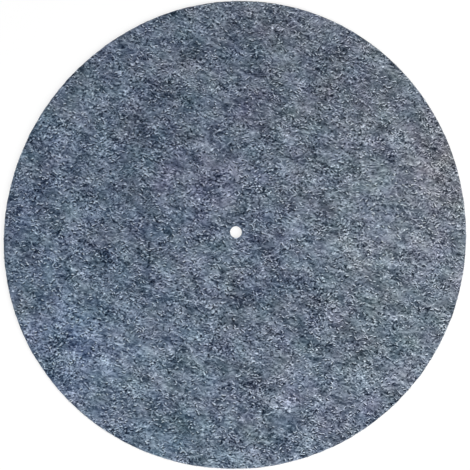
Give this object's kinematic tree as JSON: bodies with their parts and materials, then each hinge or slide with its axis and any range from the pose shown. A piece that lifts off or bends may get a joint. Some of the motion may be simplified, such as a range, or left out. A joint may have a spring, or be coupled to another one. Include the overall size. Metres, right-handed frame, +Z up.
{
  "type": "turntable platter mat",
  "caption": "Flat round felt mat with a central spindle hole, laid on a turntable's platter to carry a record.",
  "frame": {"origin": "on the spindle hole's axis, at the underside that lies on the platter", "axes": "+Z up through the thickness towards the record; seen from above, +X right and +Y away from the viewer"},
  "size_m": [0.2928, 0.2973, 0.003],
  "materials": {
    "felt": "matt felt"
  },
  "bodies": {
    "root": {"felt_mat": "felt"}
  },
  "joints": []
}
